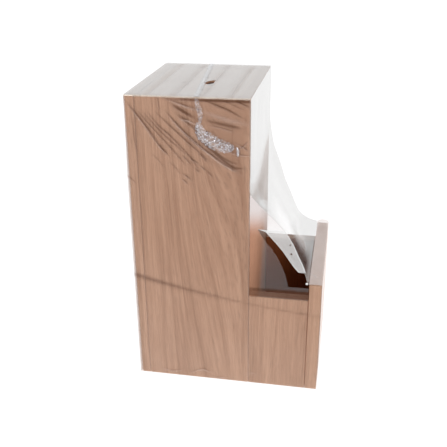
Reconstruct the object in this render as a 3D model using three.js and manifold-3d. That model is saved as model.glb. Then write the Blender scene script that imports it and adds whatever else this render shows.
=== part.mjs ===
// Upright top bar nucleus hive: a tall colony box closed by lift-out top bars, with a low open-topped
// porch in front of its entrance.
// Millimetres, +Z up, +X from the back board towards the porch, +Y towards the left-hand side panel.
// The origin is on the ground, under the centre of the bounding box.
import * as THREE from "three";
import { ConvexGeometry } from "three/addons/geometries/ConvexGeometry.js";
import { mergeVertices } from "three/addons/utils/BufferGeometryUtils.js";
import Module from "manifold-3d";

// ---- Driving dimensions ----
const STOCK = 18; // side panels, porch sides, porch front and floor boards
const BACK = 13; // back board
const WALL = 14; // wall between the colony box and the porch
const WIDTH = 228; // whole object, side to side
const HEIGHT = 452; // colony box
const TOWER = 172; // colony box, back board to front wall, outside
const PORCH = 88.5; // clear length of the porch, front wall to porch front
const PORCH_SIDE_HEIGHT = 156.5;
const PORCH_FRONT_HEIGHT = 183;
const PORCH_FLOOR = 15;
const GAP = 0.3; // between boards that touch
const EASE = 0.8; // broken edge of every board

const BAR_COUNT = 3;
const BAR_PITCH = 38;
const BAR_THICK = 18;
const BAR_BELOW_RIM = 2;
const BAR_END_PLAY = 1;
const GUIDE = { width: 10, drop: 12, length: 160 };
const REST = { deep: 12, high: 14 };

const ENTRANCE = { radius: 11, z: 44 };
const DISC = { radius: 29, thick: 1.5, z: 62, hole: 10, bore: 2.3 };
const SCREW = { shank: 2, head: 4.2, headHigh: 2.4, grip: 10, slot: 1 };
const VENT_RADIUS = 19;
const MESH = { size: 54, thick: 1.2, holes: 7, hole: 3.6, pitch: 5.4 };

const DOWEL = { radius: 3, bore: 3.2, endPlay: 0.5, chamfer: 0.7 };

// ---- Places worked out from them ----
const LENGTH = TOWER + PORCH + STOCK;
const BACK_X = -LENGTH / 2;
const TOWER_FRONT_X = BACK_X + TOWER;
const WALL_X = TOWER_FRONT_X - WALL;
const PORCH_END_X = TOWER_FRONT_X + PORCH;
const FRONT_X = LENGTH / 2;
const SIDE_Y = WIDTH / 2;
const INNER_Y = SIDE_Y - STOCK;
const BOX_BACK_X = BACK_X + BACK + GAP; // first inner face of the colony box
const BOX_FRONT_X = WALL_X - GAP;
const BAR_TOP = HEIGHT - BAR_BELOW_RIM;
const BAR_UNDER = BAR_TOP - BAR_THICK;
const ROW_START_X = (BOX_BACK_X + BOX_FRONT_X - BAR_COUNT * BAR_PITCH) / 2;
const DISC_X = TOWER_FRONT_X + GAP; // disc's back face

// ---- Materials ----
const timber = () =>
  new THREE.MeshStandardMaterial({ color: 0xb89373, roughness: 0.6, metalness: 0 });
const beech = () =>
  new THREE.MeshStandardMaterial({ color: 0xc9a784, roughness: 0.65, metalness: 0 });
const zinc = () =>
  new THREE.MeshStandardMaterial({ color: 0xa9abac, roughness: 0.35, metalness: 1 });

// ---- Solids ----
const wasm = await Module();
wasm.setup();

function solidOf(geometry) {
  const bare = geometry.clone();
  bare.deleteAttribute("normal");
  bare.deleteAttribute("uv");
  const merged = mergeVertices(bare, 1e-3);
  return new wasm.Manifold(
    new wasm.Mesh({
      numProp: 3,
      vertProperties: merged.attributes.position.array,
      triVerts: new Uint32Array(merged.index.array),
    }),
  );
}

function geometryOf(solid) {
  const mesh = solid.getMesh();
  const geometry = new THREE.BufferGeometry();
  geometry.setAttribute("position", new THREE.BufferAttribute(mesh.vertProperties, 3));
  geometry.setIndex(new THREE.BufferAttribute(mesh.triVerts, 1));
  geometry.computeVertexNormals();
  return geometry;
}

const cut = (geometry, tools) =>
  geometryOf(tools.reduce((left, tool) => left.subtract(solidOf(tool)), solidOf(geometry)));

// A box between two corners, with all twelve edges broken by a small chamfer.
function board([x0, y0, z0], [x1, y1, z1], ease = EASE) {
  const points = [];
  for (const [x, inX] of [[x0, ease], [x1, -ease]])
    for (const [y, inY] of [[y0, ease], [y1, -ease]])
      for (const [z, inZ] of [[z0, ease], [z1, -ease]])
        points.push(
          new THREE.Vector3(x, y + inY, z + inZ),
          new THREE.Vector3(x + inX, y, z + inZ),
          new THREE.Vector3(x + inX, y + inY, z),
        );
  return new ConvexGeometry(points);
}

const AXIS = {
  x: new THREE.Vector3(1, 0, 0),
  y: new THREE.Vector3(0, 1, 0),
  z: new THREE.Vector3(0, 0, 1),
};

// A round bar from start, `length` along +X, +Y or +Z. CylinderGeometry and LatheGeometry stand along Y.
function place(geometry, axis, start, length) {
  const turn = new THREE.Quaternion().setFromUnitVectors(AXIS.y, AXIS[axis]);
  const centre = new THREE.Vector3(...start).addScaledVector(AXIS[axis], length / 2);
  return geometry.applyQuaternion(turn).translate(centre.x, centre.y, centre.z);
}

const rod = (radius, length, axis, start, sides) =>
  place(new THREE.CylinderGeometry(radius, radius, length, sides), axis, start, length);

function dowelPin(length, axis, start) {
  const { radius, chamfer } = DOWEL;
  const half = length / 2;
  const profile = [
    [0, -half],
    [radius - chamfer, -half],
    [radius, -half + chamfer],
    [radius, half - chamfer],
    [radius - chamfer, half],
    [0, half],
  ].map(([r, y]) => new THREE.Vector2(r, y));
  return place(new THREE.LatheGeometry(profile, 12), axis, start, length);
}

// ---- Hidden dowels: each joins two boards, `first` deep before the joint face and `second` after it ----
const SIDES = [
  { side: "right", sign: -1 },
  { side: "left", sign: 1 },
];
const DOWEL_ROWS = [
  { name: "back", axis: "x", at: BACK_X + BACK, first: 9, second: 18, heights: [60, 226, 392] },
  { name: "wall", axis: "y", at: INNER_Y, first: 16, second: 12, heights: [75, 226, 392] },
  { name: "porch", axis: "x", at: TOWER_FRONT_X, first: 15, second: 15, heights: [36, 122] },
  { name: "front", axis: "x", at: PORCH_END_X, first: 15, second: 12, heights: [36, 122] },
];

// Where one dowel's bore starts and how long it is. A wall dowel runs across, the others fore and aft.
function boreOf(row, sign, z) {
  const length = row.first + row.second;
  if (row.axis === "x") return { length, start: [row.at - row.first, sign * (SIDE_Y - STOCK / 2), z] };
  const low = sign > 0 ? row.at - row.first : -row.at - row.second;
  return { length, start: [(WALL_X + TOWER_FRONT_X) / 2, low, z] };
}

// All bores of the named rows on the given sides, as cutting tools.
function bores(rowNames, signs) {
  const tools = [];
  for (const row of DOWEL_ROWS.filter((r) => rowNames.includes(r.name)))
    for (const sign of signs)
      for (const z of row.heights) {
        const { length, start } = boreOf(row, sign, z);
        tools.push(rod(DOWEL.bore, length, row.axis, start, 12));
      }
  return tools;
}

// ---- The hive ----
const hive = new THREE.Group();

function add(name, geometry, material) {
  const mesh = new THREE.Mesh(geometry, material);
  mesh.name = name;
  hive.add(mesh);
}

function addColonyBox() {
  const back = board([BACK_X, -SIDE_Y, 0], [BACK_X + BACK, SIDE_Y, HEIGHT]);
  add("back_board", cut(back, bores(["back"], [-1, 1])), timber());

  for (const { side, sign } of SIDES) {
    const [low, high] = [sign * INNER_Y, sign * SIDE_Y].sort((a, b) => a - b);
    const panel = board([BOX_BACK_X, low, 0], [TOWER_FRONT_X, high, HEIGHT]);
    add(`${side}_side_panel`, cut(panel, bores(["back", "wall", "porch"], [sign])), timber());
  }

  const inside = INNER_Y - GAP;
  const wall = board([WALL_X, -inside, 0], [TOWER_FRONT_X, inside, HEIGHT]);
  const entrance = rod(ENTRANCE.radius, 2 * WALL, "x", [WALL_X - WALL / 2, 0, ENTRANCE.z], 28);
  const screwBore = rod(SCREW.shank + GAP, SCREW.grip, "x",
    [TOWER_FRONT_X - SCREW.grip + 1, 0, DISC.z], 12);
  add("tower_front_wall", cut(wall, [entrance, screwBore, ...bores(["wall"], [-1, 1])]), timber());

  const middleX = (BOX_BACK_X + BOX_FRONT_X) / 2;
  const floor = board([BOX_BACK_X, -inside, 0], [BOX_FRONT_X, inside, STOCK]);
  const vent = rod(VENT_RADIUS, 2 * STOCK, "z", [middleX, 0, -STOCK / 2], 28);
  const half = MESH.size / 2;
  const seat = new THREE.BoxGeometry(MESH.size + 2 * GAP, MESH.size + 2 * GAP, 4)
    .translate(middleX, 0, STOCK + 2 - MESH.thick - GAP);
  add("hive_floor", cut(floor, [vent, seat]), timber());

  const sheet = new THREE.BoxGeometry(2 * half, 2 * half, MESH.thick)
    .translate(middleX, 0, STOCK - MESH.thick / 2);
  const holes = [];
  for (let i = 0; i < MESH.holes; i++)
    for (let j = 0; j < MESH.holes; j++) {
      const offset = (n) => (n - (MESH.holes - 1) / 2) * MESH.pitch;
      holes.push(new THREE.BoxGeometry(MESH.hole, MESH.hole, 4)
        .translate(middleX + offset(i), offset(j), STOCK));
    }
  add("vent_mesh", cut(sheet, holes), zinc());
}

// Ledger strips inside the side panels carry the bars' ends; fixed rails close the row at both ends.
function addBarSeats() {
  const inside = INNER_Y - GAP;
  const restTop = BAR_UNDER - GAP;
  for (const { side, sign } of SIDES) {
    const [low, high] = [sign * (inside - REST.deep), sign * inside].sort((a, b) => a - b);
    const strip = board([BOX_BACK_X, low, restTop - REST.high], [BOX_FRONT_X, high, restTop]);
    add(`${side}_bar_rest`, strip, beech());
  }
  const rowEnd = ROW_START_X + BAR_COUNT * BAR_PITCH;
  add("rear_end_rail",
    board([BOX_BACK_X, -inside, BAR_UNDER], [ROW_START_X - GAP, inside, BAR_TOP]), beech());
  add("front_end_rail",
    board([rowEnd + GAP, -inside, BAR_UNDER], [BOX_FRONT_X, inside, BAR_TOP]), beech());
}

// Each bar carries a wooden wedge along its underside, from which the bees start their comb.
function addTopBars() {
  const reach = INNER_Y - BAR_END_PLAY;
  for (let i = 0; i < BAR_COUNT; i++) {
    const x0 = ROW_START_X + i * BAR_PITCH + GAP / 2;
    const x1 = x0 + BAR_PITCH - GAP;
    add(`top_bar_${i + 1}`, board([x0, -reach, BAR_UNDER], [x1, reach, BAR_TOP], 1.2), beech());

    const middle = (x0 + x1) / 2;
    const wedge = new THREE.Shape([
      new THREE.Vector2(-GUIDE.width / 2, 0),
      new THREE.Vector2(-1, -GUIDE.drop),
      new THREE.Vector2(1, -GUIDE.drop),
      new THREE.Vector2(GUIDE.width / 2, 0),
    ]);
    const guide = new THREE.ExtrudeGeometry(wedge, { depth: GUIDE.length, bevelEnabled: false });
    guide.rotateX(Math.PI / 2).translate(middle, GUIDE.length / 2, BAR_UNDER - GAP);
    add(`comb_guide_${i + 1}`, guide, beech());
  }
}

// The disc turns on one screw: open hole, queen excluder slots, closed quarter, ventilation holes.
function addEntranceDisc() {
  const through = 4 * DISC.thick;
  const startX = DISC_X - DISC.thick;
  const offset = DISC.z - ENTRANCE.z;
  const tools = [
    rod(DISC.bore, through, "x", [startX, 0, DISC.z], 16),
    rod(DISC.hole, through, "x", [startX, 0, DISC.z - offset], 24),
  ];
  for (const slot of [-6, 0, 6])
    tools.push(new THREE.BoxGeometry(through, 4.3, 16).translate(DISC_X, offset + slot, DISC.z));
  const ring = [...Array(6).keys()].map((n) => (n * Math.PI) / 3);
  for (const [y, z] of [[0, 0], ...ring.map((a) => [5.5 * Math.cos(a), 5.5 * Math.sin(a)])])
    tools.push(rod(1.5, through, "x", [startX, y, DISC.z + offset + z], 8));
  const plate = rod(DISC.radius, DISC.thick, "x", [DISC_X, 0, DISC.z], 40);
  add("entrance_disc", cut(plate, tools), zinc());

  const underHead = DISC.thick + 2 * GAP;
  const profile = [
    [0, -SCREW.grip + 2],
    [SCREW.shank, -SCREW.grip + 3.5],
    [SCREW.shank, underHead],
    [SCREW.head, underHead],
    [SCREW.head, underHead + 0.55 * SCREW.headHigh],
    [0.6 * SCREW.head, underHead + SCREW.headHigh],
    [0, underHead + SCREW.headHigh],
  ].map(([r, y]) => new THREE.Vector2(r, y));
  const screw = place(new THREE.LatheGeometry(profile, 16), "x", [TOWER_FRONT_X, 0, DISC.z], 0);
  const slot = new THREE.BoxGeometry(2, 2 * SCREW.head + 1, SCREW.slot)
    .translate(TOWER_FRONT_X + underHead + SCREW.headHigh, 0, DISC.z);
  add("disc_screw", cut(screw, [slot]), zinc());
}

function addPorch() {
  const [x0, x1] = [TOWER_FRONT_X + GAP, PORCH_END_X - GAP];
  for (const { side, sign } of SIDES) {
    const [low, high] = [sign * INNER_Y, sign * SIDE_Y].sort((a, b) => a - b);
    const panel = board([x0, low, 0], [x1, high, PORCH_SIDE_HEIGHT]);
    add(`${side}_porch_side`, cut(panel, bores(["porch", "front"], [sign])), timber());
  }
  const front = board([PORCH_END_X, -SIDE_Y, 0], [FRONT_X, SIDE_Y, PORCH_FRONT_HEIGHT]);
  add("porch_front_board", cut(front, bores(["front"], [-1, 1])), timber());

  const inside = INNER_Y - GAP;
  add("porch_floor", board([x0, -inside, 0], [x1, inside, PORCH_FLOOR]), timber());
}

function addDowels() {
  for (const row of DOWEL_ROWS)
    for (const { side, sign } of SIDES)
      row.heights.forEach((z, n) => {
        const { length, start } = boreOf(row, sign, z);
        start[row.axis === "x" ? 0 : 1] += DOWEL.endPlay;
        const pin = dowelPin(length - 2 * DOWEL.endPlay, row.axis, start);
        add(`dowel_${row.name}_${side}_${n + 1}`, pin, beech());
      });
}

addColonyBox();
addBarSeats();
addTopBars();
addEntranceDisc();
addPorch();
addDowels();

export default hive;
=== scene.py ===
"""Looks for the top bar nucleus hive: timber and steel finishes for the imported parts, and the clear
shrink film that the hive is packed in, with its weld seam, crumpled end, folds and tear.

Lengths in the film's outlines are millimetres in the hive's own frame; MM turns them into metres.
"""

import math

import bmesh
import bpy
import numpy as np
from mathutils import Matrix, Vector, noise


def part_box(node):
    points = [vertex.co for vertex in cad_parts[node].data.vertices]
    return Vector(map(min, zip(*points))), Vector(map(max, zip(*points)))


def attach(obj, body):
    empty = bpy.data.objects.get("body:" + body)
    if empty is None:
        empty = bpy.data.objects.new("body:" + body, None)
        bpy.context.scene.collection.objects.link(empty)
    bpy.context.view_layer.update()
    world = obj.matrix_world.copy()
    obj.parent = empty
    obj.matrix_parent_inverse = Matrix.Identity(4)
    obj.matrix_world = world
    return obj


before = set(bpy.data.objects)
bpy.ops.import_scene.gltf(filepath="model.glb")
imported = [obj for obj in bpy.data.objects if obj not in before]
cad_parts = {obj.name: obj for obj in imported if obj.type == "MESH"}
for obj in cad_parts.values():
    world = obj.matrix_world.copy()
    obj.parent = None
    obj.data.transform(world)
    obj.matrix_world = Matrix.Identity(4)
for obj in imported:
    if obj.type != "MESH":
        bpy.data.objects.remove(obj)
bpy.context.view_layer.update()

MM = 0.001

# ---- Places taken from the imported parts, in millimetres ----


def box_mm(node):
    low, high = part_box(node)
    return [v / MM for v in low], [v / MM for v in high]


(BACK_X, _, _), (_, LEFT_Y, RIM_Z) = box_mm("back_board")
TOWER_X = box_mm("tower_front_wall")[1][0]
PORCH_RIM_Z = box_mm("right_porch_side")[1][2]
(BOARD_X, _, _), (FRONT_X, _, BOARD_Z) = box_mm("porch_front_board")
INNER_Y = box_mm("left_porch_side")[0][1]
JOINT_X = box_mm("right_side_panel")[0][0]
BAR_NAMES = ("top_bar_1", "top_bar_2", "top_bar_3")
BAR_BODIES = ("bar_1", "bar_2", "bar_3")
BAR_GAP = 0.3  # between one bar and the next
BOX = "box"

# ---- Where the film lies, in millimetres ----
STAND_OFF = 1.0  # film to timber
FILM_X0, FILM_X1 = BACK_X - STAND_OFF, FRONT_X + STAND_OFF
FILM_TOWER_X = TOWER_X + STAND_OFF
FILM_Y = LEFT_Y + STAND_OFF
FILM_TOP = RIM_Z + STAND_OFF
FILM_PORCH_RIM = PORCH_RIM_Z + STAND_OFF
FILM_BOARD_TOP = BOARD_Z + STAND_OFF
FILM_FOOT = 1.2  # lower edge, just clear of the ground
FILM_PAST_BARS = 0.5  # how far the film on a bar runs past the bar's ends
PLAIN_RIPPLE = 0.35  # unevenness of the film on the sides that have no folds
FINE_CELL = 1.3  # mesh size where the film is folded


# ---------------------------------------------------------------- materials
class Nodes:
    """Short-hand for building one material's node tree."""

    def __init__(self, name):
        self.material = bpy.data.materials.new(name)
        self.material.use_nodes = True
        self.tree = self.material.node_tree
        self.shader = self.tree.nodes["Principled BSDF"]

    def node(self, kind, inputs=None, **settings):
        made = self.tree.nodes.new(kind)
        for key, value in settings.items():
            setattr(made, key, value)
        for key, value in (inputs or {}).items():
            self.put(made.inputs[key], value)
        return made

    def put(self, socket, value):
        if isinstance(value, bpy.types.NodeSocket):
            self.tree.links.new(value, socket)
        else:
            socket.default_value = value

    def math(self, operation, a, b=0.0, clamp=False):
        return self.node("ShaderNodeMath", {0: a, 1: b}, operation=operation, use_clamp=clamp).outputs[0]

    def mix(self, factor, a, b, blend="MIX"):
        made = self.node("ShaderNodeMix", data_type="RGBA", blend_type=blend)
        self.put(made.inputs[0], factor)
        self.put(made.inputs[6], a)
        self.put(made.inputs[7], b)
        return made.outputs[2]

    def ramp(self, factor, stops):
        made = self.node("ShaderNodeValToRGB", {0: factor})
        while len(made.color_ramp.elements) < len(stops):
            made.color_ramp.elements.new(0.5)
        for element, (at, colour) in zip(made.color_ramp.elements, stops):
            element.position = at
            element.color = colour if len(colour) == 4 else (*colour, 1)
        return made.outputs[0]

    def set(self, **sockets):
        for key, value in sockets.items():
            self.put(self.shader.inputs[key.replace("_", " ")], value)
        return self.material


def grey(v):
    return (v, v, v, 1)


# Brown of the painted shade inside the porch.
PAINTED_SHADE_BROWN = (0.72, 0.36, 0.17, 1)
PAINTED_SHADE_RISE = 4000  # per metre: the painted shade is at full strength 0.25 mm past its plane
SHADE_SPOT_SCALE = (125, 55)  # one over the dark spot's half-widths, in metres, along X and Y
# Colour of the painted shade in the film.
FILM_SHADE = (0.10, 0.034, 0.013, 1)
GRAIN_TURN = {"z": (0, 0, 0), "y": (math.radians(90), 0, 0), "x": (0, math.radians(90), 0)}


def timber(name, light, dark, grain="z", seed=0.0, tilt=(0.0, 0.0), rings=0.3, bow=None, shade_spot=None,
           painted_shade=None):
    """Plain-sawn pinkish hardwood: soft growth bands, finer streaks, and short fine pores.
    rings is how strong the growth bands are. bow = (middle, reach, slope) leans the grain towards +X on its
    way down, in the middle of a board. knot = (x, y) puts a small dark spot with a warm rim there: painted
    shade under the hole in the film over it. stained = (axis, at, side) browns what lies on that side of a
    plane: painted shade. The faces inside the porch have it, to match the photo's dark pocket."""
    n = Nodes(name)
    place = n.node("ShaderNodeTexCoord").outputs["Object"]
    if bow:
        middle, reach, slope = bow
        x, y, z = n.node("ShaderNodeSeparateXYZ", {0: place}).outputs
        off = n.math("ABSOLUTE", n.math("SUBTRACT", x, middle))
        share = n.node("ShaderNodeMapRange", {"Value": off, "From Min": reach, "From Max": 0.0},
                       interpolation_type="SMOOTHSTEP").outputs[0]
        x = n.math("ADD", x, n.math("MULTIPLY", n.math("MULTIPLY", z, slope), share))
        place = n.node("ShaderNodeCombineXYZ", {0: x, 1: y, 2: z}).outputs[0]
    turned = n.node("ShaderNodeMapping", {"Vector": place, "Rotation": GRAIN_TURN[grain]}).outputs[0]
    leaning = n.node("ShaderNodeMapping", {
        "Vector": turned, "Rotation": (math.radians(tilt[0]), math.radians(tilt[1]), 0)}).outputs[0]

    def streaks(across, along, detail, shift, warp=0.0):
        scaled = n.node("ShaderNodeMapping", {
            "Vector": leaning, "Location": (seed + shift, seed * 0.7 + shift, shift),
            "Scale": (across, across, along)}).outputs[0]
        return n.node("ShaderNodeTexNoise", {
            "Vector": scaled, "Scale": 1.0, "Detail": detail, "Roughness": 0.55,
            "Distortion": warp}).outputs[0]

    broad = streaks(17, 1.3, 2.0, shift=3.1)
    bands = n.ramp(n.math("FRACT", n.math("MULTIPLY", streaks(21, 1.1, 2.0, shift=5.5), 5.0)),
                   [(0.0, grey(0)), (0.55, grey(0.12)), (0.86, grey(0.9)), (0.93, grey(1)), (1.0, grey(0))])
    streak = streaks(190, 3.6, 4.0, shift=9.4, warp=0.3)
    fibre = streaks(620, 16.0, 3.0, shift=7.7)
    pores = n.ramp(streaks(1100, 60.0, 2.0, shift=1.3), [(0.0, grey(1)), (0.36, grey(0.8)), (0.45, grey(0))])

    tone = n.math("MULTIPLY", broad, 0.75)
    tone = n.math("ADD", tone, n.math("MULTIPLY", streak, 0.95))
    tone = n.math("ADD", tone, n.math("MULTIPLY", fibre, 1.0))
    tone = n.math("ADD", tone, n.math("MULTIPLY", bands, rings))
    tone = n.math("SUBTRACT", tone, 1.08, clamp=True)
    colour = n.mix(tone, (*light, 1), (*dark, 1))
    pore_colour = tuple(0.5 * c for c in dark)
    colour = n.mix(n.math("MULTIPLY", pores, 0.30), colour, (*pore_colour, 1))
    # Painted shade: a dark spot with a warm rim, under the hole in the film, where the hole shows dark.
    if shade_spot:
        around = n.node("ShaderNodeMapping", {
            "Vector": place, "Location": (-shade_spot[0] * SHADE_SPOT_SCALE[0], -shade_spot[1] * SHADE_SPOT_SCALE[1], 0),
            "Scale": (*SHADE_SPOT_SCALE, 0)}).outputs[0]
        far = n.node("ShaderNodeVectorMath", {0: around}, operation="LENGTH").outputs["Value"]
        spot = n.ramp(far, [(0.0, (0.03, 0.008, 0.002)), (0.55, (0.05, 0.014, 0.004)),
                            (0.85, (0.40, 0.14, 0.05)), (1.0, (0.50, 0.25, 0.13))])
        inside = n.node("ShaderNodeMapRange", {"Value": far, "From Min": 1.3, "From Max": 0.9}).outputs[0]
        colour = n.mix(inside, colour, spot)

    # Painted shade: browns the faces inside the porch, beyond the given plane.
    if painted_shade:
        axis, at, side = painted_shade
        unbent = n.node("ShaderNodeTexCoord").outputs["Object"]
        along = n.node("ShaderNodeSeparateXYZ", {0: unbent}).outputs[axis]
        beyond = n.math("MULTIPLY", n.math("SUBTRACT", along, at * MM), side * PAINTED_SHADE_RISE, clamp=True)
        colour = n.mix(beyond, colour, n.mix(1.0, colour, PAINTED_SHADE_BROWN, blend="MULTIPLY"))

    rough = n.math("ADD", n.math("MULTIPLY", fibre, 0.25), 0.42)
    height = n.math("SUBTRACT", n.math("MULTIPLY", fibre, 0.5), pores)
    bump = n.node("ShaderNodeBump", {"Height": height, "Strength": 0.2, "Distance": 0.0003})
    return n.set(Base_Color=colour, Roughness=rough, Specular_IOR_Level=0.3, Normal=bump.outputs[0])


def zinc(name):
    """Zinc-plated sheet: soft crystals in the colour, fine rolling lines in the gloss."""
    n = Nodes(name)
    place = n.node("ShaderNodeTexCoord").outputs["Object"]
    spangle = n.node("ShaderNodeTexVoronoi", {"Vector": place, "Scale": 260.0}).outputs["Color"]
    spangle = n.node("ShaderNodeRGBToBW", {0: spangle}).outputs[0]
    brushed = n.node("ShaderNodeMapping", {"Vector": place, "Scale": (1.0, 60.0, 1400.0)}).outputs[0]
    lines = n.node("ShaderNodeTexNoise", {"Vector": brushed, "Scale": 1.0, "Detail": 3.0}).outputs[0]
    colour = n.mix(spangle, (0.42, 0.43, 0.44, 1), (0.58, 0.59, 0.60, 1))
    rough = n.math("ADD", n.math("MULTIPLY", lines, 0.3), 0.22)
    bump = n.node("ShaderNodeBump", {"Height": lines, "Strength": 0.12, "Distance": 0.0002})
    return n.set(Base_Color=colour, Metallic=1.0, Roughness=rough, Normal=bump.outputs[0])


def clear_film(name, tone, streak=(30, 30, 30), cloudy=0.35, glare=1.0, warm=None):
    """Clear film. It shows what is behind it when seen square on, and grows opaque and shiny as the view
    grazes it, up to glare. streak is the scale of its clouds along X, Y and Z, and cloudy how uneven they
    make the shine. The mesh's "film" colours add to that: red is milkiness together with painted
    highlights, green is painted shade, such as the dark flank of a fold, and blue takes the shine away, or,
    in a film with a second tone, warm, tints it towards that."""
    n = Nodes(name)
    place = n.node("ShaderNodeTexCoord").outputs["Object"]
    stretched = n.node("ShaderNodeMapping", {"Vector": place, "Scale": streak}).outputs[0]
    cloud = n.node("ShaderNodeTexNoise", {"Vector": stretched, "Scale": 1.0, "Detail": 4.0,
                                          "Roughness": 0.6}).outputs[0]
    painted = n.node("ShaderNodeAttribute", attribute_name="film").outputs["Color"]
    haze_and_highlight, shade, clear = n.node("ShaderNodeSeparateColor", {0: painted}).outputs[:3]
    facing = n.node("ShaderNodeLayerWeight", {"Blend": 0.5}).outputs["Facing"]
    shine = n.node("ShaderNodeMapRange", {"Value": facing, "From Min": 0.13, "From Max": 0.95,
                                          "To Max": glare}).outputs[0]
    uneven = n.math("ADD", n.math("MULTIPLY", cloud, cloudy), 1.0 - 0.55 * cloudy)
    shine = n.math("MULTIPLY", shine, uneven)
    haze = (*tone, 1)
    if warm:
        haze = n.mix(clear, haze, (*warm, 1))
    else:
        shine = n.math("MULTIPLY", shine, n.math("SUBTRACT", 1.0, clear))
    white = n.math("ADD", shine, haze_and_highlight, clamp=True)
    alpha = n.math("ADD", white, shade, clamp=True)
    share = n.math("DIVIDE", shade, n.math("ADD", alpha, 0.001), clamp=True)
    colour = n.mix(share, haze, FILM_SHADE)
    rough = n.math("ADD", n.math("MULTIPLY", cloud, 0.22), 0.12)
    return n.set(Base_Color=colour, Metallic=0.85, Roughness=rough, Alpha=alpha)


def floor_paint():
    """Pale floor with light of its own, so that it renders white."""
    n = Nodes("studio_floor")
    place = n.node("ShaderNodeTexCoord").outputs["Object"]
    mottle = n.node("ShaderNodeTexNoise", {"Vector": place, "Scale": 3.0, "Detail": 4.0}).outputs[0]
    n.set(Emission_Color=(1, 1, 1, 1), Emission_Strength=0.97)
    return n.set(Base_Color=n.mix(mottle, (0.12, 0.12, 0.12, 1), (0.16, 0.16, 0.16, 1)), Roughness=0.7)


# Light and dark tones of the timber, linear.
PINK = ((0.535, 0.332, 0.228), (0.312, 0.168, 0.104))
PALE = ((0.545, 0.340, 0.232), (0.380, 0.215, 0.138))
BEECH = ((0.600, 0.385, 0.250), (0.420, 0.245, 0.150))

TIMBERS = {
    "back_board": dict(tones=PINK, seed=1.7),
    "right_side_panel": dict(tones=PINK, seed=0.4, bow=(-0.040, 0.090, 0.15), rings=0.34),
    "left_side_panel": dict(tones=PINK, seed=5.2, bow=(-0.060, 0.090, -0.12), rings=0.34),
    "tower_front_wall": dict(tones=PINK, seed=9.1, tilt=(3.0, 1.5)),
    # The porch's inner faces get painted shade.
    "right_porch_side": dict(tones=PINK, seed=12.6, tilt=(0.0, -1.0), rings=0.15,
                             painted_shade=("Y", -INNER_Y - 0.5, 1)),
    "left_porch_side": dict(tones=PINK, seed=14.1, tilt=(0.0, 1.5), rings=0.2,
                            painted_shade=("Y", INNER_Y + 0.5, -1)),
    "porch_front_board": dict(tones=PALE, seed=17.3, tilt=(1.5, 0.5), painted_shade=("X", BOARD_X + 0.5, -1)),
    "hive_floor": dict(tones=PINK, grain="y", seed=20.4),
    "porch_floor": dict(tones=PINK, grain="y", seed=23.9, painted_shade=("X", 0, 1)),
    "right_bar_rest": dict(tones=BEECH, grain="x", seed=26.0),
    "left_bar_rest": dict(tones=BEECH, grain="x", seed=27.5),
    "rear_end_rail": dict(tones=BEECH, grain="y", seed=29.0),
    "front_end_rail": dict(tones=BEECH, grain="y", seed=31.0),
    "top_bar_1": dict(tones=PINK, grain="y", seed=33.0),
    "top_bar_2": dict(tones=PALE, grain="y", seed=36.0, shade_spot=(-0.0385, -0.021)),
    "top_bar_3": dict(tones=PINK, grain="y", seed=39.0, shade_spot=(-0.0385, -0.021)),
    "comb_guide_1": dict(tones=BEECH, grain="y", seed=41.0),
    "comb_guide_2": dict(tones=BEECH, grain="y", seed=43.0),
    "comb_guide_3": dict(tones=BEECH, grain="y", seed=45.0),
}
STEEL_NODES = ("vent_mesh", "entrance_disc", "disc_screw")


def finish_cad_parts():
    def paint(node, material):
        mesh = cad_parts[node].data
        mesh.materials.clear()
        mesh.materials.append(material)

    for node, look in TIMBERS.items():
        light, dark = look["tones"]
        rest = {k: v for k, v in look.items() if k != "tones"}
        paint(node, timber(f"timber_{node}", light, dark, **rest))
    plated = zinc("zinc_plate")
    for node in STEEL_NODES:
        paint(node, plated)
    for axis in "xy":
        pins = timber(f"dowel_beech_{axis}", *BEECH, grain=axis, seed=50.0)
        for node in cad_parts:
            if node.startswith("dowel_") and ("_wall_" in node) == (axis == "y"):
                paint(node, pins)


# ---------------------------------------------------------------- mesh helpers
def lerp(a, b, t):
    return a + (b - a) * t


def clamp01(v):
    return min(max(v, 0.0), 1.0)


def smooth(v, start, end):
    """0 at start, 1 at end, and a smooth step between them."""
    t = clamp01((v - start) / (end - start))
    return t * t * (3 - 2 * t)


def bump(v, middle, reach):
    """1 at middle, falling smoothly to 0 at reach on either side."""
    return 1 - smooth(abs(v - middle), 0, reach)


def catmull(points, count):
    """count points along a smooth curve through all the given ones."""
    points = [Vector(p) for p in points]
    ends = [2 * points[0] - points[1], *points, 2 * points[-1] - points[-2]]
    spans = len(points) - 1
    curve = []
    for i in range(count):
        at = spans * i / (count - 1)
        k = min(int(at), spans - 1)
        t = at - k
        a, b, c, d = ends[k:k + 4]
        curve.append(0.5 * (2 * b + (c - a) * t + (2 * a - 5 * b + 4 * c - d) * t * t
                            + (3 * b - a - 3 * c + d) * t ** 3))
    return curve


def spread(a, b, step):
    """Evenly spaced values from a to b, no further apart than step."""
    count = max(1, math.ceil(abs(b - a) / step))
    return [a + (b - a) * i / count for i in range(count + 1)]


def ripple(a, b, size, seed):
    """A smooth random number, about -1 to 1, at a place on a sheet."""
    return noise.noise(Vector((a / size, b / size, seed)))


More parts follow.
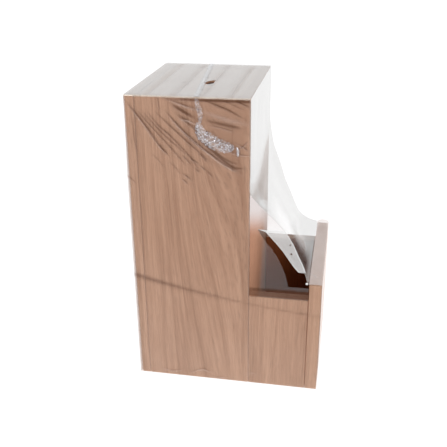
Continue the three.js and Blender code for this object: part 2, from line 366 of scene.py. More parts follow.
def sheet_mesh(name, patches, paint, keep=lambda i, j: True):
    """A film sheet from patches, each of them rows of points in millimetres. paint(point, i, j) gives a
    vertex's "film" colour, and keep(i, j) says whether the cell after row i and column j is there."""
    vertices, faces, colours = [], [], []
    for rows in patches:
        across, first = len(rows[0]), len(vertices)
        for i, row in enumerate(rows):
            for j, point in enumerate(row):
                vertices.append(Vector(point) * MM)
                colours.append((*(clamp01(c) for c in paint(point, i, j)), 1.0))
        for i in range(len(rows) - 1):
            for j in range(across - 1):
                if keep(i, j):
                    at = first + i * across + j
                    faces.append((at, at + 1, at + across + 1, at + across))
    mesh = bpy.data.meshes.new(name)
    mesh.from_pydata(vertices, [], faces)
    layer = mesh.color_attributes.new("film", "FLOAT_COLOR", "POINT")
    layer.data.foreach_set("color", [c for colour in colours for c in colour])
    work = bmesh.new()
    work.from_mesh(mesh)
    bmesh.ops.delete(work, geom=[v for v in work.verts if not v.link_faces], context="VERTS")
    bmesh.ops.remove_doubles(work, verts=work.verts, dist=0.02 * MM)
    work.to_mesh(mesh)
    work.free()
    mesh.polygons.foreach_set("use_smooth", [True] * len(mesh.polygons))
    made = bpy.data.objects.new(name, mesh)
    bpy.context.scene.collection.objects.link(made)
    return made


def even_milk(haze_and_highlight):
    """Paint for a sheet that is equally milky all over."""
    return lambda *_: (haze_and_highlight, 0.0, 0.0)


def film_piece(piece, material, body=BOX):
    piece.data.materials.append(material)
    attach(piece, body)


def film_sheet(piece, material, body=BOX):
    """A film piece. The film was shrunk on, so what it was cut to isn't known, and its flat size is measured
    from the finished mesh."""
    film_piece(piece, material, body)
    corners = np.array([tuple(v.co) for v in piece.data.vertices])
    _, width, length = sorted(float(side) for side in np.ptp(corners, axis=0))
    covered = sum(face.area for face in piece.data.polygons)
    length = max(length, covered / width)


# ---------------------------------------------------------------- folds in the side film
# The outlines were picked on the photo, carried onto the side through the fitted camera and thinned.
# Each fold is (outline, width, milkiness, darkness): milkiness is the painted highlight on one flank and
# darkness the painted shade on the other. The outline is (x, z) on the right-hand side, and the fold tapers
# to nothing at both its ends. Its left flank, looking along it, is the dark one.
FOLDS = [
    ([(-137, 443), (-119, 421), (-97, 389), (-82, 371)], 3.6, 0.26, 0.40),
    ([(-131, 436), (-110, 410), (-96, 392)], 2.6, 0.10, 0.26),
    ([(-121, 431), (-106, 413), (-77, 381), (-55, 355)], 3.0, 0.10, 0.40),
    ([(-115, 431), (-88, 401), (-54, 371)], 3.0, 0.08, 0.38),
    ([(-108, 431), (-93, 412), (-76, 397), (-50, 369), (-37, 349)], 3.2, 0.12, 0.42),
    ([(-96, 430), (-70, 406), (-47, 385), (-22, 364)], 3.4, 0.10, 0.42),
    ([(-82, 432), (-63, 410), (-42, 389), (-8, 366), (12, 352)], 3.6, 0.16, 0.46),
    ([(-77, 426), (-58, 406), (-23, 376), (-5, 362), (20, 350)], 3.8, 0.42, 0.30),
    ([(-44, 413), (-37, 396), (-13, 374), (10, 357), (24, 356)], 5.0, 0.10, 0.46),
    ([(-34, 398), (-13, 377), (3, 366), (16, 362)], 5.0, 0.05, 0.28),
    ([(-73, 441), (-59, 433), (-43, 424)], 6.5, 0.05, 0.48),
    ([(-66, 428), (-54, 419), (-43, 409)], 6.0, 0.08, 0.36),
    ([(-72, 446), (-57, 441), (-37, 435)], 3.4, 0.34, 0.16),
    ([(-88, 451), (-69, 446), (-53, 441), (-37, 437)], 3.0, 0.20, 0.22),
    ([(-61, 423), (-50, 421), (-40, 416)], 3.8, 0.50, 0.10),
    ([(-92, 452), (-91, 440), (-88, 428)], 2.6, 0.10, 0.16),
    ([(-27, 448), (-10, 442), (5, 436), (22, 427)], 3.4, 0.05, 0.50),
    ([(-3, 450), (12, 443), (27, 437)], 2.8, 0.05, 0.24),
    ([(14, 449), (24, 445), (33, 441)], 3.2, 0.10, 0.42),
    ([(-27, 421), (-7, 417), (10, 414), (19, 412)], 7.0, 0.02, 0.34),
    ([(-22, 415), (-5, 412), (12, 407)], 3.0, 0.24, 0.26),
    ([(8, 441), (9, 400), (9, 360), (8, 340)], 1.6, 0.06, 0.20),
    ([(-129, 424), (-129, 397), (-126, 372)], 3.4, 0.06, 0.26),
    ([(-133, 420), (-131, 330), (-130, 250), (-128, 205)], 5.0, 0.06, 0.06),
    ([(-141, 338), (-137, 333), (-130, 326)], 2.6, 0.14, 0.34),
    ([(-95, 385), (-88, 378), (-81, 371)], 2.8, 0.10, 0.36),
    ([(-61, 371), (-55, 365), (-49, 358)], 2.6, 0.16, 0.40),
    ([(-50, 368), (-44, 364), (-38, 360)], 2.6, 0.14, 0.38),
    ([(-37, 374), (-32, 370), (-27, 364)], 2.8, 0.10, 0.40),
    ([(-35, 357), (-29, 351)], 2.8, 0.22, 0.40),
    ([(-61, 344), (-56, 341), (-50, 336)], 2.6, 0.20, 0.40),
    ([(-62, 336), (-58, 333), (-54, 329)], 2.6, 0.22, 0.34),
    ([(-44, 353), (-37, 348)], 2.4, 0.10, 0.36),
    ([(-27, 350), (-19, 342)], 2.6, 0.12, 0.36),
    ([(-104, 371), (-95, 362), (-88, 352)], 2.4, 0.06, 0.22),
    ([(-80, 361), (-71, 352), (-64, 343)], 2.4, 0.06, 0.22),
    ([(15, 391), (25, 386), (33, 380)], 2.4, 0.34, 0.30),
    ([(18, 383), (25, 389), (31, 396)], 2.2, 0.28, 0.30),
    ([(2, 380), (18, 376), (34, 375)], 2.6, 0.34, 0.24),
    ([(14, 371), (17, 380), (15, 388)], 2.6, 0.40, 0.20),
    ([(-103, 10), (-88, 8), (-72, 12)], 2.4, 0.45, 0.16),
    ([(-60, 8), (-40, 17), (-27, 13)], 2.8, 0.40, 0.16),
    ([(-22, 4), (-13, 4), (-3, 6)], 2.6, 0.50, 0.16),
    ([(29, 18), (38, 20), (47, 19)], 3.4, 0.22, 0.06),
]
FOLD_NARROWING = 0.85  # folds and bands are drawn at this share of the widths in the lists
# Wider and fainter bands: (outline, width, milkiness).
BANDS = [
    ([(-32, 434), (-10, 427), (5, 423), (33, 418)], 7.0, 0.20),
    ([(-86, 452), (-66, 449), (-44, 446)], 6.0, 0.05),
    ([(-136, 420), (-135, 330), (-133, 230)], 9.0, 0.03),
]


def fold_marks(places):
    """Height, milkiness with painted highlight, and painted shade that the folds give the film at each place,
    an array of (x, z).
    """
    height, haze_and_highlight, shade = (np.zeros(len(places)) for _ in range(3))
    for outline, width, light, dark in FOLDS + [(line, w, m, None) for line, w, m in BANDS]:
        width *= FOLD_NARROWING
        line = np.array([tuple(p) for p in catmull(outline, 36)])
        near = np.where((places[:, 0] > line[:, 0].min() - 2 * width)
                        & (places[:, 0] < line[:, 0].max() + 2 * width)
                        & (places[:, 1] > line[:, 1].min() - 2 * width)
                        & (places[:, 1] < line[:, 1].max() + 2 * width))[0]
        if not len(near):
            continue
        gap = places[near, None, :] - line[None, :, :]
        closest = (gap ** 2).sum(2).argmin(1)
        along = np.gradient(line, axis=0)
        along /= np.linalg.norm(along, axis=1)[:, None]
        gap = gap[np.arange(len(near)), closest]
        off = (along[closest, 0] * gap[:, 1] - along[closest, 1] * gap[:, 0]) / (width / 2)
        beyond = (gap * along[closest]).sum(1) / width
        taper = np.sin(np.pi * (closest + 0.5) / len(line)) ** 0.6 * np.exp(-beyond ** 2)
        hump = np.exp(-off ** 2) * taper
        if dark is None:
            haze_and_highlight[near] += light * hump
            continue
        height[near] += 0.16 * width * hump * min(1.0, (light + dark) / 0.4)
        # Painted highlight on the right flank and painted shade on the left flank.
        haze_and_highlight[near] += 0.8 * light * np.exp(-(off + 0.8) ** 2 / 0.4) * taper
        shade[near] += 1.5 * dark * np.exp(-(off - 0.3) ** 2 / 0.4) * taper
    return height, haze_and_highlight, shade


# The film hangs slack down the back edge, by a guess that brings the outline nearer to the photo's.
BACK_SLACK = 1.7


def overlap_edge_z(x):
    """Height of the line where the outer layer of film ends on the right-hand side."""
    return 150 - 0.165 * x + 0.0003 * x * x


def side_base(x, z):
    """Milkiness and painted shade of the right-hand film apart from its folds: a dark line of painted shade
    where the outer layer ends, wider and darker towards the back, painted light over the board joints that
    fills their shade, the slack back edge, the painted shadow under the rim, and a little darker towards
    the top."""
    above = z - overlap_edge_z(x)
    toward_back = smooth(x, 60, -140)
    line = math.exp(-((above + 1.0) / (1.3 + 1.6 * toward_back)) ** 2) * (0.22 + 0.20 * toward_back ** 2)
    line += 0.10 * toward_back * math.exp(-((above + 5) / 3.0) ** 2)
    line *= 0.75 + 0.6 * ripple(x, 0, 18, 61.0)
    haze_and_highlight = 0.010 * smooth(above, -2, 4) + 0.006
    # Painted light over the board joints, filling the shade in their gaps.
    for joint, light in ((JOINT_X, 0.10), (TOWER_X + 0.2, 0.15)):
        haze_and_highlight += light * math.exp(-((x - joint) / 1.0) ** 2)
    slack = smooth(x, FILM_X0 + 0.8, FILM_X0 - 0.5)
    haze_and_highlight += 0.30 * slack
    line += 0.34 * slack
    # Painted shadow under the rim, and a little darker towards the top.
    rim = smooth(x, -105, -20) * math.exp(-((z - 449.0) / 1.6) ** 2)
    upper = smooth(z, 300, 440)
    return haze_and_highlight, max(line, 0) + 0.60 * rim + 0.02 * upper


def fine_side(name, x_range, z_lines):
    """The right-hand film with its folds, over x_range and with a row of points at each of z_lines."""
    xs = spread(*x_range, FINE_CELL)
    places = np.array([(x, z) for z in z_lines for x in xs])
    height, haze_and_highlight, shade = fold_marks(places)
    count = len(xs)
    rows = []
    for i, z in enumerate(z_lines):
        row = []
        for j, x in enumerate(xs):
            edge = clamp01(min(x - x_range[0], x_range[1] - x, z - FILM_FOOT, FILM_TOP - z) / 3)
            lift = (height[i * count + j] + 0.25 * ripple(x, z, 30, 3.0)) * edge
            slack = BACK_SLACK * smooth(x, -136, FILM_X0) * smooth(z, 440, 330)
            row.append((x - slack, -FILM_Y - lift, z))
        rows.append(row)

    def paint(point, i, j):
        base_milk, base_shade = side_base(point[0], point[2])
        k = i * count + j
        return base_milk + haze_and_highlight[k], base_shade + shade[k], 0.0

    return sheet_mesh(name, [rows], paint)


def plain_side(name, x_range, z_range, seed):
    """Left-hand film, which the photo doesn't show."""
    rows = [[(x, FILM_Y + PLAIN_RIPPLE * ripple(x, z, 30, seed), z) for x in spread(*x_range, 5)]
            for z in spread(*z_range, 5)]
    return sheet_mesh(name, [rows], even_milk(0.02))


def make_side_sheets(material):
    tower = (FILM_X0, FILM_TOWER_X)
    porch = (FILM_TOWER_X, FILM_X1)
    ends = (BOARD_X, FILM_X1)
    tower_lines = spread(FILM_FOOT, 24, 1.5) + spread(28, 200, 3)[1:]
    tower_lines += spread(200, 320, 4)[1:] + spread(320, FILM_TOP, FINE_CELL)[1:]
    porch_lines = spread(FILM_FOOT, FILM_PORCH_RIM, 2.6)
    end_lines = spread(FILM_PORCH_RIM, FILM_BOARD_TOP, 2.6)
    for name, across, lines, board in (
            ("film_right_tower", tower, tower_lines, "right_side_panel"),
            ("film_right_porch", porch, porch_lines, "right_porch_side"),
            ("film_right_board_end", ends, end_lines, "porch_front_board")):
        film_sheet(fine_side(name, across, lines), material)
    for name, across, heights, seed, board in (
            ("film_left_tower", tower, (FILM_FOOT, FILM_TOP), 3.0, "left_side_panel"),
            ("film_left_porch", porch, (FILM_FOOT, FILM_PORCH_RIM), 6.0, "left_porch_side"),
            ("film_left_board_end", ends, (FILM_PORCH_RIM, FILM_BOARD_TOP), 9.0, "porch_front_board")):
        film_sheet(plain_side(name, across, heights, seed), material)
    for name, x, sign, top, board in (("film_back", FILM_X0, -1, FILM_TOP, "back_board"),
                                      ("film_porch_front", FILM_X1, 1, FILM_BOARD_TOP, "porch_front_board")):
        rows = [[(x + sign * PLAIN_RIPPLE * ripple(y, z, 34, 11.0), y, z) for y in spread(-FILM_Y, FILM_Y, 6)]
                for z in spread(FILM_FOOT, top, 6)]
        film_sheet(sheet_mesh(name, [rows], even_milk(0.02)), material)


# ---------------------------------------------------------------- film over the porch
# The sheet leaves the tower's front, spans the open porch and lands on the front board. Both outlines are
# (x, z): FAR is the sheet's left-hand edge, and FOLD the edge where it turns into the right-hand web.
FAR = [(34, 453), (34, 396), (34.5, 363), (41, 325), (48, 306), (56, 286), (63, 263), (73, 240), (82, 218),
       (91, 201), (106, 190), (121, 185.5)]
FOLD = [(34, 453), (34, 396), (34, 352), (34.5, 318), (47, 303), (61, 291), (74, 278), (86, 264), (96, 248),
        (105, 228), (113, 211), (120.5, 185.5)]

# The torn web: TEAR_IN is the left edge of the opening and TEAR_OUT its right edge, top to bottom.
TEAR_IN = [(45, 267), (51, 257), (57, 248), (66, 238), (73, 227), (80, 213), (86, 199), (90, 184), (91, 178)]
TEAR_OUT = [(45, 267), (56, 264), (65, 254), (74, 244), (83, 233), (91, 221), (98, 211), (105, 203)]
TEAR_FOOT = 178.0
STATIONS = 110  # rows of points down the sheet
ACROSS = 46  # points in a row, from the right-hand side to the left
BELLY_X, BELLY_Z = 5.0, 3.0  # how far the middle of the free sheet hangs back and down


def x_at(line, z):
    """Where an outline that falls all the way reaches a height."""
    heights = [p[1] for p in reversed(line)]
    return float(np.interp(z, heights, [p[0] for p in reversed(line)]))


def front_rows():
    """Points of the sheet, which lies flat on the tower and then sags between its two outlines."""
    far, fold = catmull(FAR, STATIONS), catmull(FOLD, STATIONS)
    rows = []
    for f, k in zip(far, fold):
        row = []
        for j in range(ACROSS):
            t = j / (ACROSS - 1)
            x, z = lerp(k.x, f.x, smooth(t, 0, 1) * 0.5 + t * 0.5), lerp(k.y, f.y, t)
            free = smooth(x, 36, 60) * smooth(z, 180, 200)
            belly = math.sin(math.pi * t)
            x -= free * BELLY_X * belly
            z -= free * BELLY_Z * belly
            end = min(t, 1 - t) * (ACROSS - 1)
            round_off = 1.6 * max(0.0, 1 - end / 2.5) ** 2 * smooth(x, 34, 60)
            crease = 0.5 * ripple(t * 60, z / 6, 4, 17.0) * free
            row.append((x - round_off + crease, lerp(-FILM_Y, FILM_Y, t), z))
        rows.append(row)
    return rows


# A leaf-shaped clearer window in the sheet: its left and right edges, as x for each y.
LEAF_Y = (-93, -66, -60, -10, 42, 80)
LEAF_LEFT = (46, 39.5, 38, 36.8, 36.2, 36)
LEAF_RIGHT = (46, 53, 52.3, 47, 41, 36)


def front_paint(point, _, j):
    """Milky where the film rests on the tower, with a painted highlight low at its near corner. Clearer in
    the leaf-shaped window, low on the tower, up its near edge, and over the porch just past the fold, where
    it also gets a little painted shade."""
    x, y, z = point
    t = j / (ACROSS - 1)
    open_share = smooth(x, 40, 62) * smooth(x, 123, 112)
    seen_through = open_share * smooth(t, 0.0, 0.03) * (1 - smooth(t, 0.18, 0.55)) * smooth(z, 290, 268)
    on_tower = 1 - smooth(x, 34.5, 37)
    left, right = (float(np.interp(y, LEAF_Y, edge)) for edge in (LEAF_LEFT, LEAF_RIGHT))
    leaf = smooth(x, left - 0.8, left + 0.8) * smooth(x, right + 0.8, right - 0.8)
    low = on_tower * smooth(z, 300 - 0.33 * y, 296 - 0.33 * y)
    near_corner = on_tower * (1 - smooth(y, -114, -100)) * 0.5
    # Painted highlight: a bright spot low at the near corner.
    painted_glint = 0.4 * math.exp(-(((y + 100) / 14) ** 2 + ((z - 300) / 7) ** 2))
    streak = 0.06 * ripple(y, z / 7, 9, 71.0)
    haze_and_highlight = 0.16 * on_tower + painted_glint + streak
    clear = 0.92 * seen_through + 0.25 * leaf + 0.12 * low + near_corner * 0.5
    return max(haze_and_highlight, 0.0), 0.10 * seen_through, clear


def board_top_rows():
    """The roll of film along the front board's top edge, which stands higher at the left-hand end."""
    rows = []
    for y in spread(-FILM_Y, FILM_Y, 4):
        far_end = smooth(y, 60, FILM_Y)
        row = []
        for x in spread(BOARD_X - 0.7, FILM_X1, 2):
            u = 2 * (x - BOARD_X + 0.7) / (FILM_X1 - BOARD_X + 0.7) - 1
            row.append((x, y, FILM_BOARD_TOP + 0.4 + (0.8 + 3.6 * far_end) * max(0.0, 1 - u * u) ** 0.6))
        rows.append(row)
    return rows


def board_top_paint(point, *_):
    x, y, _ = point
    return 0.06 + 0.05 * ripple(y, x * 2, 20, 5.0), 0.0, 0.0


def web_patches():
    """The right-hand web: above the tear, behind it, in front of it (the pale band) and below it."""
    y = -FILM_Y
    tip, edge_x = TEAR_IN[0][1], FILM_TOWER_X
    above = [[(lerp(edge_x, x_at(FOLD, z), t), y, z) for t in spread(0, 1, 0.05)]
             for z in spread(FOLD[3][1], tip, 2)]
    behind = [[(lerp(edge_x, x_at(TEAR_IN, z), t), y, z) for t in spread(0, 1, 0.05)]
              for z in spread(tip, TEAR_FOOT, 2)]
    low = TEAR_OUT[-1][1]
    band = [[(lerp(x_at(TEAR_OUT, z), x_at(FOLD, z), t), y - 0.9 * math.sin(math.pi * t), z)
             for t in spread(0, 1, 0.08)] for z in spread(tip, low, 1.6)]
    below = [[(lerp(edge_x, BOARD_X - 0.5, t), y, z) for t in spread(0, 1, 0.03)]
             for z in spread(TEAR_FOOT, FILM_PORCH_RIM, 1.8)]
    return above, behind, band, below


def web_paint(point, *_):
    """Faint haze over the porch, with a brown shadow line along its lower edge. Near the tower it is tinted
    brown, as the photo shows; what makes it brown there isn't known."""
    x, _, z = point
    into = smooth(x, 34, 60)
    brown = 1 - smooth(x - 0.05 * (z - 170), 33, 59)
    foot = smooth(z, 173.5, 171) * smooth(z, 157, 159)
    upper = smooth(z, 246, 290)
    haze_and_highlight = 0.01 + 0.10 * into * (1 - foot) + 0.42 * upper
    haze_and_highlight += brown * (0.66 - 0.15 * smooth(z, 240, 165)) * (1 - 0.6 * foot)
    shade = foot * (0.40 + 0.16 * smooth(x, 40, 110))
    warm = min(1.0, 2.5 * brown) * (1 - smooth(z, 255, 300))
    return haze_and_highlight, shade, warm


# The pale band's milkiness is a painted highlight, the glare on a taut strip of film, brighter at the tear's
# edge and towards its top.
def band_paint(point, *_):
    x, _, z = point
    edge = bump(x, x_at(TEAR_OUT, z), 3.0)
    grain = 0.10 * ripple(x * 1.2 + z * 0.9, z / 7, 5, 77.0)
    return 0.64 + 0.08 * edge + grain + 0.15 * smooth(z, 248, 268), 0.0, 0.0


def make_front_sheet(material, web_material, board_material):
    film_sheet(sheet_mesh("film_front_span", [front_rows()], front_paint), material)
    film_sheet(sheet_mesh("film_board_top", [board_top_rows()], board_top_paint), board_material)
    above, behind, band, below = web_patches()
    film_sheet(sheet_mesh("film_right_web", [above, behind, below], web_paint), web_material)
    film_piece(sheet_mesh("film_right_band", [band], band_paint), material)

    y = FILM_Y
    tall = [[(lerp(FILM_TOWER_X, max(x_at(FAR, z), FILM_TOWER_X), t), y, z) for t in spread(0, 1, 0.1)]
            for z in spread(FAR[1][1], FAR[-1][1], 3)]
    low = [[(lerp(FILM_TOWER_X, BOARD_X - 0.5, t), y, z) for t in spread(0, 1, 0.1)]
           for z in spread(FAR[-1][1], FILM_PORCH_RIM, 3)]
    film_sheet(sheet_mesh("film_left_web", [tall, low], even_milk(0.05)), material)


def make_marks(material):
    """Two small dark marks on the pale band, painted shade where vent holes show the dark inside, and a white
    scrap of film at the foot of the tear, its whiteness a painted highlight.
    """
    for name, at, size, white in (("film_vent_1", (92, 246), 1.3, 0.0), ("film_vent_2", (94, 232), 1.6, 0.0),
                                  ("film_tear_scrap", (118, 186), 1.9, 1.0)):
        dot = [[(at[0] + size * r * math.cos(a), -FILM_Y - 1.1 - 0.3 * (1 - r),
                 at[1] + size * r * math.sin(a)) for a in spread(0, 2 * math.pi, 0.55)]
               for r in (0.01, 0.4, 0.7, 1.0)]
        film_piece(sheet_mesh(name, [dot], lambda p, i, j: (white, (1 - white) * (0.95 - 0.2 * i), 0.0)),
                   material)


# ---------------------------------------------------------------- top sheet
SEAM_SKEW = -0.105  # how far the seam leans from straight across
SEAM_X = -51.3  # where the seam crosses the middle of the top
SEAM_COLUMNS = 11  # points across the seam


def bar_joints():
    """Where one bar, or end rail, meets the next along the top."""
    low, high = box_mm(BAR_NAMES[0]), box_mm(BAR_NAMES[-1])
    start, end = low[0][0] - BAR_GAP / 2, high[1][0] + BAR_GAP / 2
    return [start + (end - start) * i / len(BAR_NAMES) for i in range(len(BAR_NAMES) + 1)]


def film_reach(bar):
    """How far the film on a bar runs to the left and to the right."""
    return box_mm(bar)[1][1] + FILM_PAST_BARS


JOINTS = bar_joints()
HOLE_X, HOLE_Y = -38.5, -22  # middle of the teardrop hole
HOLE_HALF_X, HOLE_HALF_Y = 6.3, 14


def top_z(x, y):
    dip = sum(bump(x, joint, 7) for joint in JOINTS) * smooth(abs(y), FILM_Y, 70)
    return FILM_TOP + 0.1 - 0.15 * dip + 0.2 * ripple(x, y / 4, 14, 21.0) * smooth(abs(y), FILM_Y, 100)


def top_paint(point, *_):
    """Less shine in a stripe along each bar joint, along two edges and on one brown blot, with faint
    streaks. A stripe darkens slowly towards the porch and ends sharply, a little past its joint."""
    x, y, _ = point
    stripe = 0.0
    for k, joint in enumerate(JOINTS):
        past = x - joint - 1.8 - k
        stripe += math.exp(-(past / (8.0 if past < 0 else 2.8)) ** 2)
    uneven = 0.8 + 0.5 * ripple(x / 3, y / 3, 14, 23.0)
    rim = max(1 - smooth(y, -114, -97), smooth(x, 14, 24) * 0.3)
    blot = 0.5 * math.exp(-(((x + 77) / 4) ** 2 + ((y + 29) / 7) ** 2))
    streak = 0.03 * ripple(x, y / 12, 5, 27.0)
    return max(streak, 0.0), 0.3 * blot, 0.16 * rim + 0.20 * stripe * uneven + 0.3 * blot + max(-streak, 0)


def in_hole(x, y):
    """Inside the teardrop hole in the film over the middle bar, with its tip to the left-hand side."""
    along = (y - HOLE_Y) / HOLE_HALF_Y
    middle = HOLE_X + 3.0 * along
    half = HOLE_HALF_X * math.sqrt(max(0.0, 1 - along * along)) * (1 - 0.45 * along)
    return abs(along) < 1 and abs(x - middle) < half


def top_patch(name, material, body, x_range, y_range, step=3.0):
    xs, ys = spread(*x_range, step), spread(*y_range, step)
    rows = [[(x, y, top_z(x, y)) for x in xs] for y in ys]

    def keep(i, j):
        return not in_hole((xs[j] + xs[j + 1]) / 2, (ys[i] + ys[i + 1]) / 2)

    film_sheet(sheet_mesh(name, [rows], top_paint, keep), material, body)


def make_top_sheet(material):
    reach = film_reach(BAR_NAMES[0])
    bars = (JOINTS[0], JOINTS[-1])
    width = (-FILM_Y, FILM_Y)
    for name, board, x_range, y_range in (
            ("film_top_rear", "back_board", (FILM_X0, JOINTS[0]), width),
            ("film_top_front", "tower_front_wall", (JOINTS[-1], FILM_TOWER_X), width),
            ("film_top_right", "right_side_panel", bars, (-FILM_Y, -reach)),
            ("film_top_left", "left_side_panel", bars, (reach, FILM_Y))):
        top_patch(name, material, BOX, x_range, y_range)
    for i, body in enumerate(BAR_BODIES):
        step = 1.0 if i == 1 else 2.0  # finer where the hole is
        span = (JOINTS[i], JOINTS[i + 1])
        top_patch(f"film_on_bar_{i + 1}", material, body, span, (-reach, reach), step)


def make_rim_roll(material):
    """The film's rolled edge along the top of the right-hand side, where it catches the light."""
    rows = []
    for x in spread(FILM_X0, FILM_TOWER_X, 3):
        height = 1.4 + 0.25 * ripple(x, 0, 11, 51.0)
        rows.append([(x, -FILM_Y + 1.5 - 1.9 * math.cos(a), FILM_TOP - 1.2 + height * math.sin(a))
                     for a in spread(-0.3, math.pi / 2 + 0.5, 0.35)])

    def paint(point, *_):
        return 0.42 + 0.22 * ripple(point[0], 0, 16, 53.0), 0.0, 0.3

    film_piece(sheet_mesh("film_rim_roll", [rows], paint), material)


# ---------------------------------------------------------------- weld seam
def crumple(name, material, points, width, relief, haze_and_highlight, seed, count, across=16, grain=3.0):
    """A crushed strip of film that stands off the right-hand side. relief is how far it stands off, and
    grain the size of its creases. The mesh has count points along the strip and across points over it."""
    line = catmull(points, count)
    rows = []
    for i, p in enumerate(line):
        ahead, behind = line[min(i + 1, count - 1)], line[max(i - 1, 0)]
        along = (ahead - behind).normalized()
        normal = Vector((-along.y, along.x))
        taper = math.sin(math.pi * (i + 0.5) / count) ** 0.4
        row = []
        for j in range(across):
            u = 2 * j / (across - 1) - 1
            edge = 1 + 0.22 * ripple(i * 0.9, 3.0 * u, 2.6, seed + 9)
            at = p + normal * (u * width * taper * edge / 2)
            fine = 0.5 * abs(ripple(at.x, at.y, grain / 2.1, seed + 4))
            crush = abs(ripple(at.x, at.y, grain, seed)) + fine
            row.append((at.x, -FILM_Y - 1.0 - relief * crush * max(0.0, 1 - u * u) ** 0.5, at.y))
        rows.append(row)

    # Paint: milky spots, and dark patches of painted shade in the creases that grow towards the strip's
    # sides.
    def paint(point, _, j):
        spot = abs(ripple(point[0], point[2], grain / 1.4, seed + 2))
        dark = max(0.0, ripple(point[0], point[2], grain * 1.2, seed + 6)) ** 1.1
        side = abs(2 * j / (across - 1) - 1)
        return (haze_and_highlight * (0.20 + 2.2 * spot) * (1 - 0.5 * side ** 3), 1.3 * dark * (0.4 + 0.6 * side), 0.0)

    film_piece(sheet_mesh(name, [rows], paint), material)


def make_seam(material, flat_material):
    crumple("film_seam_side", material, [(-39, 452), (-37, 441), (-34, 431), (-35, 418)], 8, 1.4, 0.26, 3.0,
            count=50, grain=2.4)
    crumple("film_seam_end", material, [(-38, 419), (-33, 404), (-23, 396), (-10, 389), (2, 386), (12, 387)],
            19, 4.5, 0.34, 7.0, count=90, across=28, grain=4.6)
    crumple("film_seam_tip", material, [(15, 387), (17, 381), (17, 373)], 4, 1.8, 0.5, 13.0, count=24)

    def seam_rows(y_range, count):
        rows = []
        for i in range(count):
            y = lerp(*y_range, i / (count - 1))
            row = []
            for j in range(SEAM_COLUMNS):
                u = 2 * j / (SEAM_COLUMNS - 1) - 1
                x = SEAM_X + SEAM_SKEW * y + u * (4.2 + 0.9 * ripple(y, 0, 9, 31.0))
                rise = 0.9 * (1 - u * u) + 0.35 * ripple(x * 3, y, 4, 33.0)
                row.append((x, y, top_z(x, y) + 0.2 + max(rise, 0)))
            rows.append(row)
        return rows

    def seam_paint(point, _, j):
        u = 2 * j / (SEAM_COLUMNS - 1) - 1
        torn = 0.8 + 0.7 * ripple(point[1], u * 4, 6, 35.0)
        return 0.50 * (1 - u * u) * torn, 0.10 * abs(u) ** 3 * torn, 0.0

    reach = film_reach(BAR_NAMES[1])
    for name, body, y_range, count in (("film_seam_top", BAR_BODIES[1], (-reach, reach), 110),
                                       ("film_seam_right", BOX, (-FILM_Y, -reach), 14),
                                       ("film_seam_left", BOX, (reach, FILM_Y), 14)):
        film_piece(sheet_mesh(name, [seam_rows(y_range, count)], seam_paint), flat_material, body)


# ---------------------------------------------------------------- studio
CAMERA_AT = (0.1565, -0.9748, 0.6634)
CAMERA_AIM = (-0.0254, 0.0, 0.2202)
CAMERA_ROLL = -0.53
CAMERA_LENS = 54.2
LIGHT_AIM = (-0.05, 0, 0.2)
BACKDROP = 1.02  # brightness of the surroundings to the camera and in reflections
FILL = 0.30  # brightness with which they light the scene


def make_camera():
    data = bpy.data.cameras.new("camera")
    data.lens = CAMERA_LENS
    data.sensor_width = 36
    camera = bpy.data.objects.new("camera", data)
    bpy.context.scene.collection.objects.link(camera)
    camera.location = CAMERA_AT
    look = (Vector(CAMERA_AIM) - Vector(CAMERA_AT)).to_track_quat("-Z", "Y").to_matrix()
    camera.rotation_euler = (look @ Matrix.Rotation(math.radians(CAMERA_ROLL), 3, "Z")).to_euler()
    bpy.context.scene.camera = camera


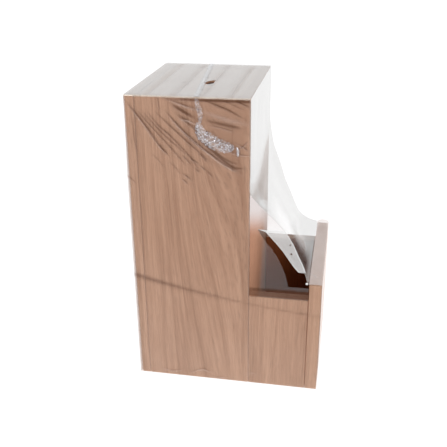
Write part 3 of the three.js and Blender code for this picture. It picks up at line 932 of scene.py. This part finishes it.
def area_light(name, at, size, power, mirrored=True):
    data = bpy.data.lights.new(name, "AREA")
    data.shape = "SQUARE"
    data.size = size
    data.energy = power
    light = bpy.data.objects.new(name, data)
    bpy.context.scene.collection.objects.link(light)
    light.visible_glossy = mirrored
    light.location = at
    light.rotation_euler = (Vector(LIGHT_AIM) - Vector(at)).to_track_quat("-Z", "Y").to_euler()


def make_studio():
    scene = bpy.context.scene
    scene.view_settings.view_transform = "Standard"
    world = bpy.data.worlds.new("studio")
    scene.world = world
    world.use_nodes = True
    tree = world.node_tree
    background = tree.nodes["Background"]
    background.inputs["Color"].default_value = (1.0, 1.0, 1.0, 1)
    path = tree.nodes.new("ShaderNodeLightPath")
    strength = tree.nodes.new("ShaderNodeMapRange")
    strength.inputs["To Min"].default_value = BACKDROP
    strength.inputs["To Max"].default_value = FILL
    tree.links.new(path.outputs["Is Diffuse Ray"], strength.inputs["Value"])
    tree.links.new(strength.outputs[0], background.inputs["Strength"])

    mesh = bpy.data.meshes.new("floor")
    half = 6.0
    mesh.from_pydata([(-half, -half, 0), (half, -half, 0), (half, half, 0), (-half, half, 0)], [],
                     [(0, 1, 2, 3)])
    floor = bpy.data.objects.new("floor", mesh)
    scene.collection.objects.link(floor)
    mesh.materials.append(floor_paint())

    area_light("key", (-1.5, -1.7, 1.5), 1.4, 26.5)
    area_light("front", (1.0, -1.9, 1.1), 1.4, 16)
    area_light("back", (-0.4, 2.2, 1.6), 1.6, 8, mirrored=False)


def make_film():
    make_side_sheets(clear_film("clear_film_sides", (0.78, 0.60, 0.52), streak=(12, 12, 4)))
    span = clear_film("clear_film_span", (0.69, 0.685, 0.68), streak=(14, 14, 5))
    web = clear_film("clear_film_web", (0.66, 0.60, 0.59), streak=(14, 14, 5), warm=(0.50, 0.250, 0.155))
    make_front_sheet(span, web, clear_film("clear_film_board", (0.82, 0.73, 0.70)))
    make_marks(span)
    make_top_sheet(clear_film("clear_film_top", (0.68, 0.665, 0.655), streak=(60, 6, 60), cloudy=0.10))
    make_rim_roll(clear_film("clear_film_rim", (0.90, 0.82, 0.72)))
    make_seam(clear_film("clear_film_seam", (0.76, 0.79, 0.85), streak=(250, 250, 250)),
              clear_film("clear_film_weld", (0.82, 0.84, 0.87), streak=(90, 250, 90), glare=0.25))


make_camera()
make_studio()
finish_cad_parts()
make_film()
